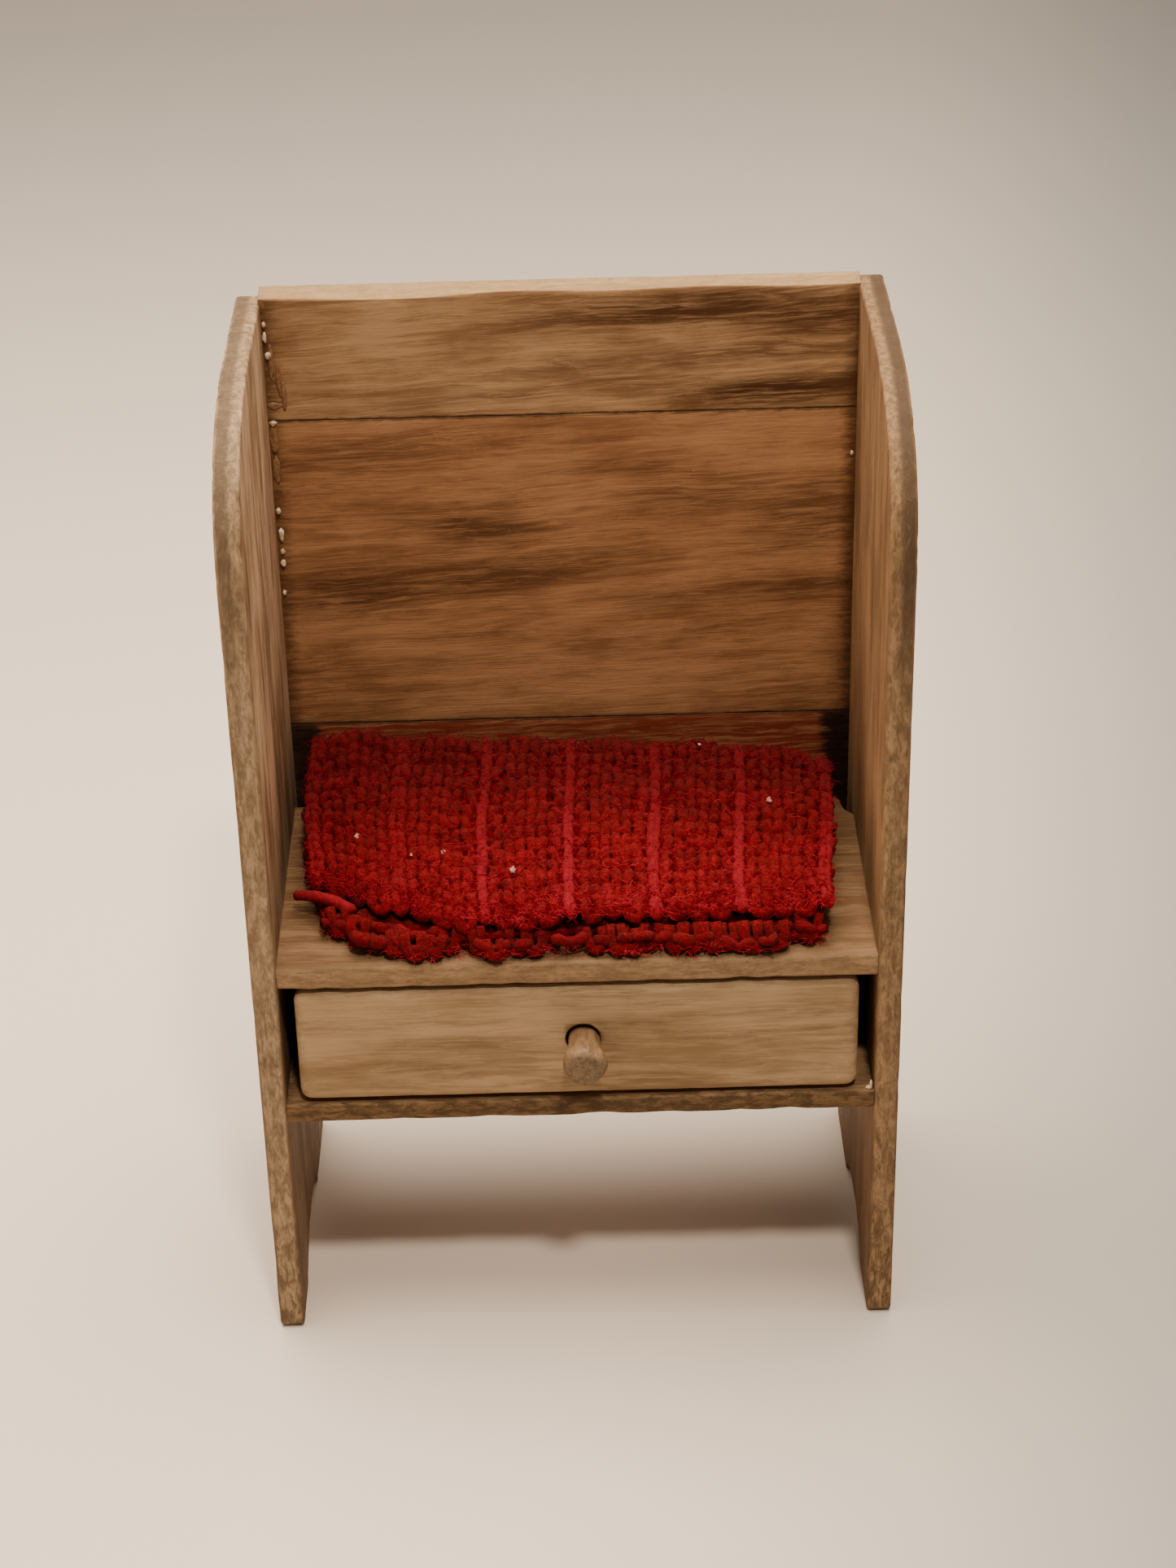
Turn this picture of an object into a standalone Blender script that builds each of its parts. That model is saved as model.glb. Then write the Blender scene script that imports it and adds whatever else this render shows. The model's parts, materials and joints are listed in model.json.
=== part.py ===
"""Miniature high-backed settle chair, 1:12 scale, with a drawer under the seat and a knitted pad.

Units are metres, +Z is up and the chair faces -Y.  The origin is on the floor, in the
middle of the whole chair's footprint, the drawer knob included.
Depths are given from the chair's front edge towards the back, heights from the floor.
"""

import math

import bmesh
import bpy
from mathutils import Matrix, Vector

# ---------------------------------------------------------------- driving sizes
GAP = 0.0003                # clearance left between neighbouring pieces

STOCK = 0.0024              # board thickness of the carcase
THIN_STOCK = 0.0016         # board thickness of the drawer box
EDGE_ROUND = 0.00025        # softened edges of every board

INNER_WIDTH = 0.0550        # between the two side panels
SIDE_DEPTH = 0.0340
SIDE_HEIGHT = 0.0954
WING_REACH = 0.0200         # depth of the quarter ellipse at the top of the front edge
WING_DROP = 0.0159          # height of the same quarter ellipse
ARCH_START = 0.0075         # the shallow arch between the feet
ARCH_END = 0.0230
ARCH_RISE = 0.0030
FOOT_ROUND = 0.0009
TOP_ROUND = 0.0006

BACK_TOP = 0.0950
BACK_UPPER_JOINT = 0.0824   # where the top plank meets the middle one
BACK_LOWER_JOINT = 0.0500   # where the middle plank meets the lower one

SEAT_TOP = 0.0420
SEAT_DEPTH = 0.0294
SHELF_TOP = 0.0268
SHELF_STOCK = 0.0021

DRAWER_WIDTH = 0.0522
DRAWER_SHIFT = -0.0001      # the drawer sits a little left of centre
DRAWER_HEIGHT = 0.0121
DRAWER_BOX_DEPTH = 0.0290   # from the front face to the rear of the drawer back
DRAWER_BOX_HEIGHT = 0.0105
DRAWER_FRONT_ROUND = 0.0006

KNOB_X = 0.0005
KNOB_Z = 0.0331
KNOB_REACH = 0.0046
KNOB_HEAD_RADIUS = 0.00205
KNOB_FACE_RADIUS = 0.0012
KNOB_ROOT_RADIUS = 0.0015
KNOB_CROWN = 0.0011         # depth of the rounded end
KNOB_TAIL = 0.0006          # length of shank behind the drawer front
KNOB_HOLE_LIFT = 0.00015    # the hole is bored a little high

PAD_LEFT = -0.0250
PAD_RIGHT = 0.0245
PAD_FRONT = 0.0010
PAD_REAR = 0.0304
PAD_FRONT_THICKNESS = 0.0048
PAD_REAR_LEFT_THICKNESS = 0.0080
PAD_REAR_RIGHT_THICKNESS = 0.0046
PAD_ROUND = 0.0014

# ---------------------------------------------------------------- derived sizes
FRONT_Y = -(SIDE_DEPTH - KNOB_REACH) / 2
HALF_INNER = INNER_WIDTH / 2
BACK_FRONT = SIDE_DEPTH - STOCK
SHELF_BOTTOM = SHELF_TOP - SHELF_STOCK
BOARD_HALF = HALF_INNER - GAP
DRAWER_FLOOR = SHELF_TOP + GAP

# ---------------------------------------------------------------- materials
WOOD_COLOURS = {
    "side_wood": (0.36, 0.22, 0.11),
    "back_wood": (0.33, 0.17, 0.07),
    "seat_wood": (0.42, 0.28, 0.15),
    "drawer_wood": (0.45, 0.29, 0.15),
    "knob_wood": (0.50, 0.33, 0.20),
}
KNIT_COLOUR = (0.46, 0.02, 0.02)


def principled(name, colour, roughness):
    """A Principled BSDF material with one colour and roughness."""
    material = bpy.data.materials.new(name)
    material.use_nodes = True
    shader = material.node_tree.nodes["Principled BSDF"]
    shader.inputs["Base Color"].default_value = (*colour, 1.0)
    shader.inputs["Roughness"].default_value = roughness
    shader.inputs["Metallic"].default_value = 0.0
    material.diffuse_color = (*colour, 1.0)
    return material


def wood(name, kind):
    """The material of one wooden piece, named after the piece."""
    return principled(name + "_" + kind, WOOD_COLOURS[kind], 0.62)


# ---------------------------------------------------------------- helpers
def clear_scene():
    for old in list(bpy.data.objects):
        bpy.data.objects.remove(old, do_unlink=True)


def new_collection(name):
    collection = bpy.data.collections.new(name)
    bpy.context.scene.collection.children.link(collection)
    return collection


def new_empty(name, location, collection):
    empty = bpy.data.objects.new(name, None)
    empty.location = location
    empty.empty_display_size = 0.005
    collection.objects.link(empty)
    return empty


def attach(piece, parent):
    """Parent a piece without moving it."""
    bpy.context.view_layer.update()
    piece.parent = parent
    piece.matrix_parent_inverse = parent.matrix_world.inverted()


def soften(piece, width, segments=2):
    """Round every sharp edge of a piece."""
    bevel = piece.modifiers.new("soft_edges", "BEVEL")
    bevel.width = width
    bevel.segments = segments
    bevel.limit_method = "ANGLE"
    bevel.angle_limit = math.radians(40)
    bevel.use_clamp_overlap = True
    return bevel


def board(name, x_range, depth_range, z_range, material, collection, edge=EDGE_ROUND):
    """A rectangular board between two X values, two depths and two heights."""
    mesh = bpy.data.meshes.new(name)
    low = Vector((x_range[0], FRONT_Y + depth_range[0], z_range[0]))
    high = Vector((x_range[1], FRONT_Y + depth_range[1], z_range[1]))
    size = high - low
    shape = bmesh.new()
    bmesh.ops.create_cube(shape, size=1.0)
    bmesh.ops.scale(shape, vec=size, verts=shape.verts)
    shape.to_mesh(mesh)
    shape.free()
    piece = bpy.data.objects.new(name, mesh)
    piece.location = (low + high) / 2
    piece.data.materials.append(material)
    collection.objects.link(piece)
    soften(piece, edge)
    return piece


def ellipse_arc(centre, radii, start_deg, end_deg, steps):
    """Points along part of an ellipse, both ends included."""
    points = []
    for step in range(steps + 1):
        angle = math.radians(start_deg + (end_deg - start_deg) * step / steps)
        points.append((centre[0] + radii[0] * math.cos(angle), centre[1] + radii[1] * math.sin(angle)))
    return points


def curve_to_mesh(curve_object, collection):
    """Turn a filled curve into a welded mesh object of the same name and place."""
    bpy.context.view_layer.update()
    evaluated = curve_object.evaluated_get(bpy.context.evaluated_depsgraph_get())
    mesh = bpy.data.meshes.new_from_object(evaluated)
    shape = bmesh.new()
    shape.from_mesh(mesh)
    bmesh.ops.remove_doubles(shape, verts=shape.verts, dist=0.00001)
    bmesh.ops.recalc_face_normals(shape, faces=shape.faces)
    shape.to_mesh(mesh)
    shape.free()
    name = curve_object.name
    matrix = curve_object.matrix_world.copy()
    bpy.data.objects.remove(curve_object, do_unlink=True)
    mesh.name = name
    piece = bpy.data.objects.new(name, mesh)
    piece.matrix_world = matrix
    collection.objects.link(piece)
    return piece


# ---------------------------------------------------------------- carcase
def side_outline():
    """Depth and height of the side panel's edge, once around from the front foot."""
    foot = FOOT_ROUND
    arch_middle = (ARCH_START + ARCH_END) / 2
    arch_radii = ((ARCH_END - ARCH_START) / 2, ARCH_RISE)
    wing_centre = (WING_REACH, SIDE_HEIGHT - WING_DROP)
    top = TOP_ROUND
    outline = ellipse_arc((foot, foot), (foot, foot), 180, 270, 4)
    outline += ellipse_arc((arch_middle, 0.0), arch_radii, 180, 0, 16)
    outline += ellipse_arc((SIDE_DEPTH - foot, foot), (foot, foot), 270, 360, 4)
    outline += ellipse_arc((SIDE_DEPTH - top, SIDE_HEIGHT - top), (top, top), 0, 90, 3)
    outline += ellipse_arc(wing_centre, (WING_REACH, WING_DROP), 90, 180, 22)
    return outline


def side_panel(name, centre_x, material, collection):
    """One winged side, cut from a board on its profile."""
    outline = side_outline()
    curve = bpy.data.curves.new(name, "CURVE")
    curve.dimensions = "2D"
    curve.fill_mode = "BOTH"
    curve.extrude = STOCK / 2
    spline = curve.splines.new("POLY")
    spline.points.add(len(outline) - 1)
    for point, (depth, height) in zip(spline.points, outline):
        point.co = (depth, height, 0.0, 1.0)
    spline.use_cyclic_u = True
    panel = bpy.data.objects.new(name, curve)
    collection.objects.link(panel)
    panel.rotation_euler = (math.radians(90), 0.0, math.radians(90))
    panel.location = (centre_x, FRONT_Y, 0.0)
    piece = curve_to_mesh(panel, collection)
    piece.data.materials.clear()
    piece.data.materials.append(material)
    soften(piece, EDGE_ROUND)
    return piece


def build_carcase(collection):
    side_x = HALF_INNER + STOCK / 2
    for name, sign in (("side_panel_left", -1), ("side_panel_right", 1)):
        side_panel(name, sign * side_x, wood(name, "side_wood"), collection)

    width = (-BOARD_HALF, BOARD_HALF)
    back_depth = (BACK_FRONT, SIDE_DEPTH)
    half_gap = GAP / 2
    planks = {
        "back_plank_top": (BACK_UPPER_JOINT + half_gap, BACK_TOP),
        "back_plank_middle": (BACK_LOWER_JOINT + half_gap, BACK_UPPER_JOINT - half_gap),
        "back_plank_lower": (SHELF_BOTTOM, BACK_LOWER_JOINT - half_gap),
    }
    for name, heights in planks.items():
        board(name, width, back_depth, heights, wood(name, "back_wood"), collection)

    seat_heights = (SEAT_TOP - STOCK, SEAT_TOP)
    board("seat_board", width, (0.0, SEAT_DEPTH), seat_heights, wood("seat_board", "seat_wood"), collection)
    shelf_heights = (SHELF_BOTTOM, SHELF_TOP)
    shelf_depth = (0.0, BACK_FRONT - GAP)
    board("drawer_shelf", width, shelf_depth, shelf_heights, wood("drawer_shelf", "seat_wood"), collection)


# ---------------------------------------------------------------- drawer
def knob_profile():
    """Radius and reach of the turned knob, from its outer end to the end of its shank."""
    crown_base = KNOB_REACH - KNOB_CROWN
    crown_radii = (KNOB_HEAD_RADIUS - KNOB_FACE_RADIUS, KNOB_CROWN)
    shank_end = -(STOCK + KNOB_TAIL)
    profile = [(0.0, KNOB_REACH)]
    profile += ellipse_arc((KNOB_FACE_RADIUS, crown_base), crown_radii, 90, 0, 6)
    neck_steps = 5
    for step in range(1, neck_steps + 1):
        share = step / neck_steps
        ease = math.sin(share * math.pi / 2)
        radius = KNOB_HEAD_RADIUS + (KNOB_ROOT_RADIUS - KNOB_HEAD_RADIUS) * ease
        profile.append((radius, crown_base * (1 - share)))
    profile += [(KNOB_ROOT_RADIUS, shank_end), (0.0, shank_end)]
    return profile


def build_knob(collection):
    mesh = bpy.data.meshes.new("drawer_knob")
    shape = bmesh.new()
    points = [shape.verts.new((radius, 0.0, reach)) for radius, reach in knob_profile()]
    for first, second in zip(points, points[1:]):
        shape.edges.new((first, second))
    shape.to_mesh(mesh)
    shape.free()
    knob = bpy.data.objects.new("drawer_knob", mesh)
    knob.location = (KNOB_X, FRONT_Y, KNOB_Z)
    knob.rotation_euler = (math.radians(90), 0.0, 0.0)
    knob.data.materials.append(wood("drawer_knob", "knob_wood"))
    collection.objects.link(knob)
    turn = knob.modifiers.new("turned", "SCREW")
    turn.axis = "Z"
    turn.steps = 28
    turn.render_steps = 28
    turn.use_merge_vertices = True
    turn.merge_threshold = 0.00001
    turn.use_smooth_shade = True
    return knob


def knob_hole_cutter(cutters):
    """The hole for the knob's shank, wide enough to leave a gap round it."""
    mesh = bpy.data.meshes.new("knob_hole")
    shape = bmesh.new()
    radius = KNOB_ROOT_RADIUS + GAP + KNOB_HOLE_LIFT
    depth = STOCK * 3
    bmesh.ops.create_cone(
        shape, cap_ends=True, segments=28, radius1=radius, radius2=radius, depth=depth,
        matrix=Matrix.Rotation(math.radians(90), 4, "X"))
    shape.to_mesh(mesh)
    shape.free()
    cutter = bpy.data.objects.new("knob_hole", mesh)
    cutter.location = (KNOB_X, FRONT_Y + STOCK / 2, KNOB_Z + KNOB_HOLE_LIFT)
    cutter.hide_render = True
    cutter.display_type = "WIRE"
    cutters.objects.link(cutter)
    return cutter


def build_drawer(collection, cutters):
    slide_axis = new_empty("drawer_slide_axis", (DRAWER_SHIFT, FRONT_Y, KNOB_Z), collection)
    half_front = DRAWER_WIDTH / 2
    half_box = half_front - GAP
    half_inside = half_box - THIN_STOCK - GAP
    box_start = STOCK + GAP
    box_top = DRAWER_FLOOR + DRAWER_BOX_HEIGHT
    middle = DRAWER_SHIFT

    front = board(
        "drawer_front", (middle - half_front, middle + half_front), (0.0, STOCK),
        (DRAWER_FLOOR, DRAWER_FLOOR + DRAWER_HEIGHT), wood("drawer_front", "drawer_wood"),
        collection, DRAWER_FRONT_ROUND)
    bore = front.modifiers.new("knob_hole", "BOOLEAN")
    bore.operation = "DIFFERENCE"
    bore.solver = "EXACT"
    bore.object = knob_hole_cutter(cutters)
    attach(front, slide_axis)

    box_depth = (box_start, DRAWER_BOX_DEPTH)
    wall_heights = (DRAWER_FLOOR, box_top)
    left = board(
        "drawer_side_left", (middle - half_box, middle - half_box + THIN_STOCK), box_depth,
        wall_heights, wood("drawer_side_left", "drawer_wood"), collection)
    right = board(
        "drawer_side_right", (middle + half_box - THIN_STOCK, middle + half_box), box_depth,
        wall_heights, wood("drawer_side_right", "drawer_wood"), collection)

    inside = (middle - half_inside, middle + half_inside)
    bottom_top = DRAWER_FLOOR + THIN_STOCK
    bottom = board(
        "drawer_bottom", inside, box_depth, (DRAWER_FLOOR, bottom_top),
        wood("drawer_bottom", "drawer_wood"), collection)
    rear = board(
        "drawer_back", inside, (DRAWER_BOX_DEPTH - THIN_STOCK, DRAWER_BOX_DEPTH),
        (bottom_top + GAP, box_top), wood("drawer_back", "drawer_wood"), collection)
    for piece in (left, right, bottom, rear, build_knob(collection)):
        attach(piece, slide_axis)


# ---------------------------------------------------------------- knitted pad
def pad_thickness(across, back):
    """Thickness of the folded pad; across and back run from 0 to 1."""
    rear = PAD_REAR_LEFT_THICKNESS + (PAD_REAR_RIGHT_THICKNESS - PAD_REAR_LEFT_THICKNESS) * across
    return PAD_FRONT_THICKNESS + (rear - PAD_FRONT_THICKNESS) * back ** 3


def build_pad(collection):
    """A plain solid of the knitted pad's size, resting on the seat."""
    lift_axis = new_empty("pad_lift_axis", (0.0, FRONT_Y + SEAT_DEPTH / 2, SEAT_TOP), collection)
    width = PAD_RIGHT - PAD_LEFT
    depth = PAD_REAR - PAD_FRONT
    mesh = bpy.data.meshes.new("knitted_pad")
    shape = bmesh.new()
    bmesh.ops.create_cube(shape, size=1.0)
    bmesh.ops.subdivide_edges(shape, edges=shape.edges, cuts=5, use_grid_fill=True)
    for vertex in shape.verts:
        across = vertex.co.x + 0.5
        back = vertex.co.y + 0.5
        height = (vertex.co.z + 0.5) * pad_thickness(across, back)
        vertex.co = (across * width - width / 2, back * depth - depth / 2, height)
    shape.to_mesh(mesh)
    shape.free()
    pad = bpy.data.objects.new("knitted_pad", mesh)
    pad.location = ((PAD_LEFT + PAD_RIGHT) / 2, FRONT_Y + (PAD_FRONT + PAD_REAR) / 2, SEAT_TOP + GAP)
    pad.data.materials.append(principled("knitted_pad_knit", KNIT_COLOUR, 0.95))
    collection.objects.link(pad)
    soften(pad, PAD_ROUND, 3)
    attach(pad, lift_axis)


clear_scene()
chair_collection = new_collection("miniature_settle_chair")
cutter_collection = new_collection("cutters")
build_carcase(chair_collection)
build_drawer(chair_collection, cutter_collection)
build_pad(chair_collection)
bpy.context.view_layer.update()
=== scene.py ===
"""Looks of the miniature settle chair: worn boards, a whittled knob and a folded knitted pad.

Shapes are in metres in the frame's own axes: +X right, +Y to the back, +Z up. The shaders read the
same place in millimetres, and so do the stains, the spots of painted shade, seams and glue that
are written out here.
"""

import json
import math
import random

import bmesh
import bpy
import numpy as np
from mathutils import Euler, Matrix, Vector, noise

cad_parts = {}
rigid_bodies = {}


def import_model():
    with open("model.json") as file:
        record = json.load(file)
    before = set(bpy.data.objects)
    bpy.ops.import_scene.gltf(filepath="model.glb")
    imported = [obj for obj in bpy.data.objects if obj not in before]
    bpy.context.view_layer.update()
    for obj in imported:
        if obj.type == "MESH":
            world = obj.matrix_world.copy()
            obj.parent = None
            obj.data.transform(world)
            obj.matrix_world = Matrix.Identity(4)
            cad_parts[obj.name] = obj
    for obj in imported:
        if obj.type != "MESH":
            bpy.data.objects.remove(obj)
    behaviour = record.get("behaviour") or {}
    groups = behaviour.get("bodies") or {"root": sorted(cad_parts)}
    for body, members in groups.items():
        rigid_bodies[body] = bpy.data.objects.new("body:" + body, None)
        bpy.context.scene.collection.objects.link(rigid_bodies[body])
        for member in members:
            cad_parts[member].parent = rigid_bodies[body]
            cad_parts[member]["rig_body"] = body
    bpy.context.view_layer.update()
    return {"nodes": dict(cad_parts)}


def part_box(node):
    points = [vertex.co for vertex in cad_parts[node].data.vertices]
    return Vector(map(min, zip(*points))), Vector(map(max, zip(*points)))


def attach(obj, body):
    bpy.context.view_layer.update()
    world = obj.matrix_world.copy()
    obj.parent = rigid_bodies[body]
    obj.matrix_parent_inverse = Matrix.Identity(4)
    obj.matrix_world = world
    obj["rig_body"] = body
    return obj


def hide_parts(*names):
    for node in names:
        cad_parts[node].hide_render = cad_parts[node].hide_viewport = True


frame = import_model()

MM = 0.001
BOX = {name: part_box(name) for name in frame["nodes"]}
FRONT_Y = BOX["side_panel_left"][0].y          # the chair's front edge
BACK_FACE_Y = BOX["back_plank_middle"][0].y    # front face of the back planks
SEAT_TOP = BOX["seat_board"][1].z


# ======== small helpers
def add_object(name, data):
    made = bpy.data.objects.new(name, data)
    bpy.context.scene.collection.objects.link(made)
    return made


def smooth_object(name, mesh):
    mesh.shade_smooth()
    return add_object(name, mesh)


def mesh_from(name, shape):
    """A mesh from a bmesh, which is freed."""
    mesh = bpy.data.meshes.new(name)
    shape.to_mesh(mesh)
    shape.free()
    return mesh


def solid(name, points, faces):
    """A smooth-shaded object from points and faces."""
    mesh = bpy.data.meshes.new(name)
    mesh.from_pydata(points, [], faces)
    return smooth_object(name, mesh)


def store(piece, **shares):
    """Keep one number per vertex for the shaders to read."""
    for name, values in shares.items():
        attribute = piece.data.attributes.new(name, "FLOAT", "POINT")
        attribute.data.foreach_set("value", values.astype(np.float32))


def tinted(colour, shade):
    """A colour times one number, or times one number per channel."""
    shares = shade if isinstance(shade, tuple) else (shade,) * 3
    return tuple(channel * share for channel, share in zip(colour, shares))


def smoothstep(low, high, value):
    share = np.clip((value - low) / (high - low), 0.0, 1.0)
    return share * share * (3 - 2 * share)


def unit(vectors):
    """Vectors along the last axis, brought to length one."""
    return vectors / np.maximum(np.linalg.norm(vectors, axis=-1, keepdims=True), 1e-12)


def tube_faces(start, count, sides):
    """Quads between rings of vertices that follow one another, and a cap at both ends."""
    base = start + sides * np.arange(count - 1)[:, None]
    turn = np.arange(sides)[None, :]
    after = (turn + 1) % sides
    quads = np.stack([base + turn, base + after, base + sides + after, base + sides + turn], -1)
    last = start + count * sides
    caps = [list(range(start + sides - 1, start - 1, -1)), list(range(last - sides, last))]
    return quads.reshape(-1, 4).tolist() + caps


# ======== camera, light, floor
CAMERA_PLACE = Vector((-0.00025, FRONT_Y - 0.2433, 0.2025))
CAMERA_ANGLES = Euler((0.5273, -0.0259, 0.0058), "XYZ")     # pitch, roll and yaw of the view
CAMERA_LENS, CAMERA_SENSOR = 73.2, 36.0                     # millimetres
CAMERA_REACH = (0.01, 20.0)                                 # nearest and farthest it sees
WORLD_COLOUR, WORLD_STRENGTH = (1.0, 0.90, 0.79, 1.0), 0.36
LAMP_COLOUR = (1.0, 0.91, 0.80)
# name, place, target, diameter and power of each lamp
LAMPS = (("key", (0.04, -0.26, 0.50), (0.0, 0.0, 0.03), 0.045, 2.0),
         ("softbox", (-0.03, 0.06, 0.40), (0.0, 0.0, 0.0), 0.42, 4.4))
FLOOR_HALF = 3.0
FLOOR_DROP = 0.00002        # the floor lies this far under the feet
# painted shade and light on the floor: its colour runs from lit to shaded, and dims towards the
# back
FLOOR_SHADE, FLOOR_LIT = (0.300, 0.268, 0.234), (0.745, 0.615, 0.492)
FLOOR_FAR_SHADE = (0.24, 0.225, 0.205)


def make_camera():
    data = bpy.data.cameras.new("view_camera")
    data.lens, data.sensor_width = CAMERA_LENS, CAMERA_SENSOR
    data.clip_start, data.clip_end = CAMERA_REACH
    camera = add_object("view_camera", data)
    look = CAMERA_ANGLES.to_matrix().transposed() @ Matrix.Rotation(math.pi / 2, 3, "X")
    camera.matrix_world = Matrix.Translation(CAMERA_PLACE) @ look.to_4x4()
    bpy.context.scene.camera = camera


def make_lights():
    world = bpy.data.worlds.new("studio")
    world.use_nodes = True
    background = world.node_tree.nodes["Background"]
    background.inputs["Color"].default_value = WORLD_COLOUR
    background.inputs["Strength"].default_value = WORLD_STRENGTH
    bpy.context.scene.world = world
    for name, place, target, size, power in LAMPS:
        data = bpy.data.lights.new(name, "AREA")
        data.shape = "DISK"
        data.size, data.energy, data.color = size, power, LAMP_COLOUR
        lamp = add_object(name, data)
        lamp.location = place
        lamp.rotation_euler = (Vector(target) - Vector(place)).to_track_quat("-Z", "Y").to_euler()


class Nodes:
    """Short-hand for building one material's node tree."""

    def __init__(self, name):
        self.material = bpy.data.materials.new(name)
        self.material.use_nodes = True
        self.tree = self.material.node_tree
        self.shader = self.tree.nodes["Principled BSDF"]

    def put(self, socket, value):
        if isinstance(value, bpy.types.NodeSocket):
            self.tree.links.new(value, socket)
        elif value is not None:
            socket.default_value = value

    def paint(self, **inputs):
        """Link sockets to the shader, and set plain numbers on the shader's own inputs."""
        for name, value in inputs.items():
            self.put(self.shader.inputs[name.replace("_", " ")], value)

    def add(self, kind, *values, **settings):
        node = self.tree.nodes.new("ShaderNode" + kind)
        for key, value in settings.items():
            setattr(node, key, value)
        for socket, value in zip(node.inputs, values):
            self.put(socket, value)
        return node

    def maths(self, operation, first, second=None, third=None, clamp=False):
        return self.add("Math", first, second, third, operation=operation,
                        use_clamp=clamp).outputs[0]

    def times(self, first, second):
        return self.maths("MULTIPLY", first, second)

    def weighted(self, *pairs):
        """Sum of (socket, weight) pairs."""
        total = self.times(*pairs[0])
        for socket, weight in pairs[1:]:
            total = self.maths("MULTIPLY_ADD", socket, weight, total)
        return total

    def vector(self, operation, first, second=None):
        node = self.add("VectorMath", first, second, operation=operation)
        return node.outputs["Value" if operation == "LENGTH" else "Vector"]

    def point(self):
        """The point at rest, in millimetres."""
        place = self.add("TexCoord").outputs["Object"]
        return self.vector("MULTIPLY", place, (1000.0, 1000.0, 1000.0))

    def split(self, place):
        return self.add("SeparateXYZ", place).outputs

    def noise(self, place, stretch, detail=3.0, roughness=0.55, distortion=0.0, output="Fac"):
        """Noise with stretch cells per millimetre: one number, or one per axis."""
        stretch = stretch if isinstance(stretch, tuple) else (stretch,) * 3
        node = self.add("TexNoise", self.vector("MULTIPLY", place, stretch))
        for name, value in (("Scale", 1.0), ("Detail", detail), ("Roughness", roughness),
                            ("Distortion", distortion)):
            node.inputs[name].default_value = value
        return node.outputs[output]

    def ramp(self, factor, *stops):
        node = self.add("ValToRGB", factor)
        elements = node.color_ramp.elements
        while len(elements) < len(stops):
            elements.new(1.0)
        for element, (position, colour) in zip(elements, stops):
            element.position, element.color = position, (*colour, 1.0)
        return node.outputs["Color"]

    def remap(self, value, low, high, to_low=0.0, to_high=1.0):
        return self.add("MapRange", value, low, high, to_low, to_high,
                        interpolation_type="SMOOTHSTEP").outputs[0]

    def mix(self, factor, first, second, blend="MIX"):
        node = self.add("Mix", data_type="RGBA", blend_type=blend)
        self.put(node.inputs[0], factor)
        for socket, colour in ((node.inputs[6], first), (node.inputs[7], second)):
            self.put(socket, (*colour, 1.0) if isinstance(colour, tuple) else colour)
        return node.outputs[2]

    def cover(self, colour, tone, value, start, full, most=1.0, least=0.0, blend="MIX"):
        """Lay a tone over a colour: by the least share up to start, by the most from full on."""
        return self.mix(self.remap(value, start, full, least, most), colour, tone, blend)

    def attribute(self, name):
        return self.add("Attribute", attribute_name=name).outputs["Fac"]

    def bump(self, height, distance, strength):
        node = self.add("Bump", strength, distance)
        self.put(node.inputs["Height"], height)
        return node.outputs["Normal"]


def blotched(name, scale, detail, roughness, dark, light, relief=None, **inputs):
    """A material that drifts between two tones, each given as (noise, colour); relief is the
    depth and strength of its bump."""
    looks = Nodes(name)
    blot = looks.noise(looks.point(), scale, detail, roughness)
    looks.paint(Base_Color=looks.ramp(blot, dark, light), **inputs)
    if relief:
        looks.paint(Normal=looks.bump(blot, *relief))
    return looks


def make_floor():
    """Pale paper with painted shade: darker towards the right and the back."""
    shape = bmesh.new()
    bmesh.ops.create_grid(shape, x_segments=8, y_segments=8, size=FLOOR_HALF)
    floor = add_object("floor", mesh_from("floor", shape))
    floor.location = (0.0, 0.0, -FLOOR_DROP)
    paper = Nodes("pale_paper")
    point = paper.point()
    cloud = paper.noise(point, 0.01, 2.0)
    # painted shade: the paper darkens towards the right across a slanted border, and towards the
    # back
    axes = paper.split(point)
    slanted = paper.maths("MULTIPLY_ADD", axes["Y"], -0.17, axes["X"])     # a border run askew
    sweep = paper.remap(slanted, 78.0, -5.0, -0.05, 0.95)
    sweep = paper.maths("MULTIPLY_ADD", cloud, 0.10, sweep)
    tone = paper.ramp(sweep, (0.0, FLOOR_SHADE), (1.0, FLOOR_LIT))
    tone = paper.cover(tone, FLOOR_FAR_SHADE, axes["Y"], 60.0, 420.0, 0.57)
    paper.paint(Base_Color=tone, Roughness=0.85)
    floor.data.materials.append(paper.material)


# ======== wood
# colour of stains, and of the painted shade lower down the sides and in the planks' corners
STAIN_AND_SHADE = (0.046, 0.0150, 0.0035)
SEAM = (0.030, 0.011, 0.003)
WING_GREYS = ((0.38, (0.032, 0.020, 0.013)), (0.58, (0.074, 0.047, 0.030)),
              (0.70, (0.150, 0.108, 0.076)))
WING_WEAR = (0.2, (0.90, 0.86, 0.80)), (0.9, (0.50, 0.48, 0.46))


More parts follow.
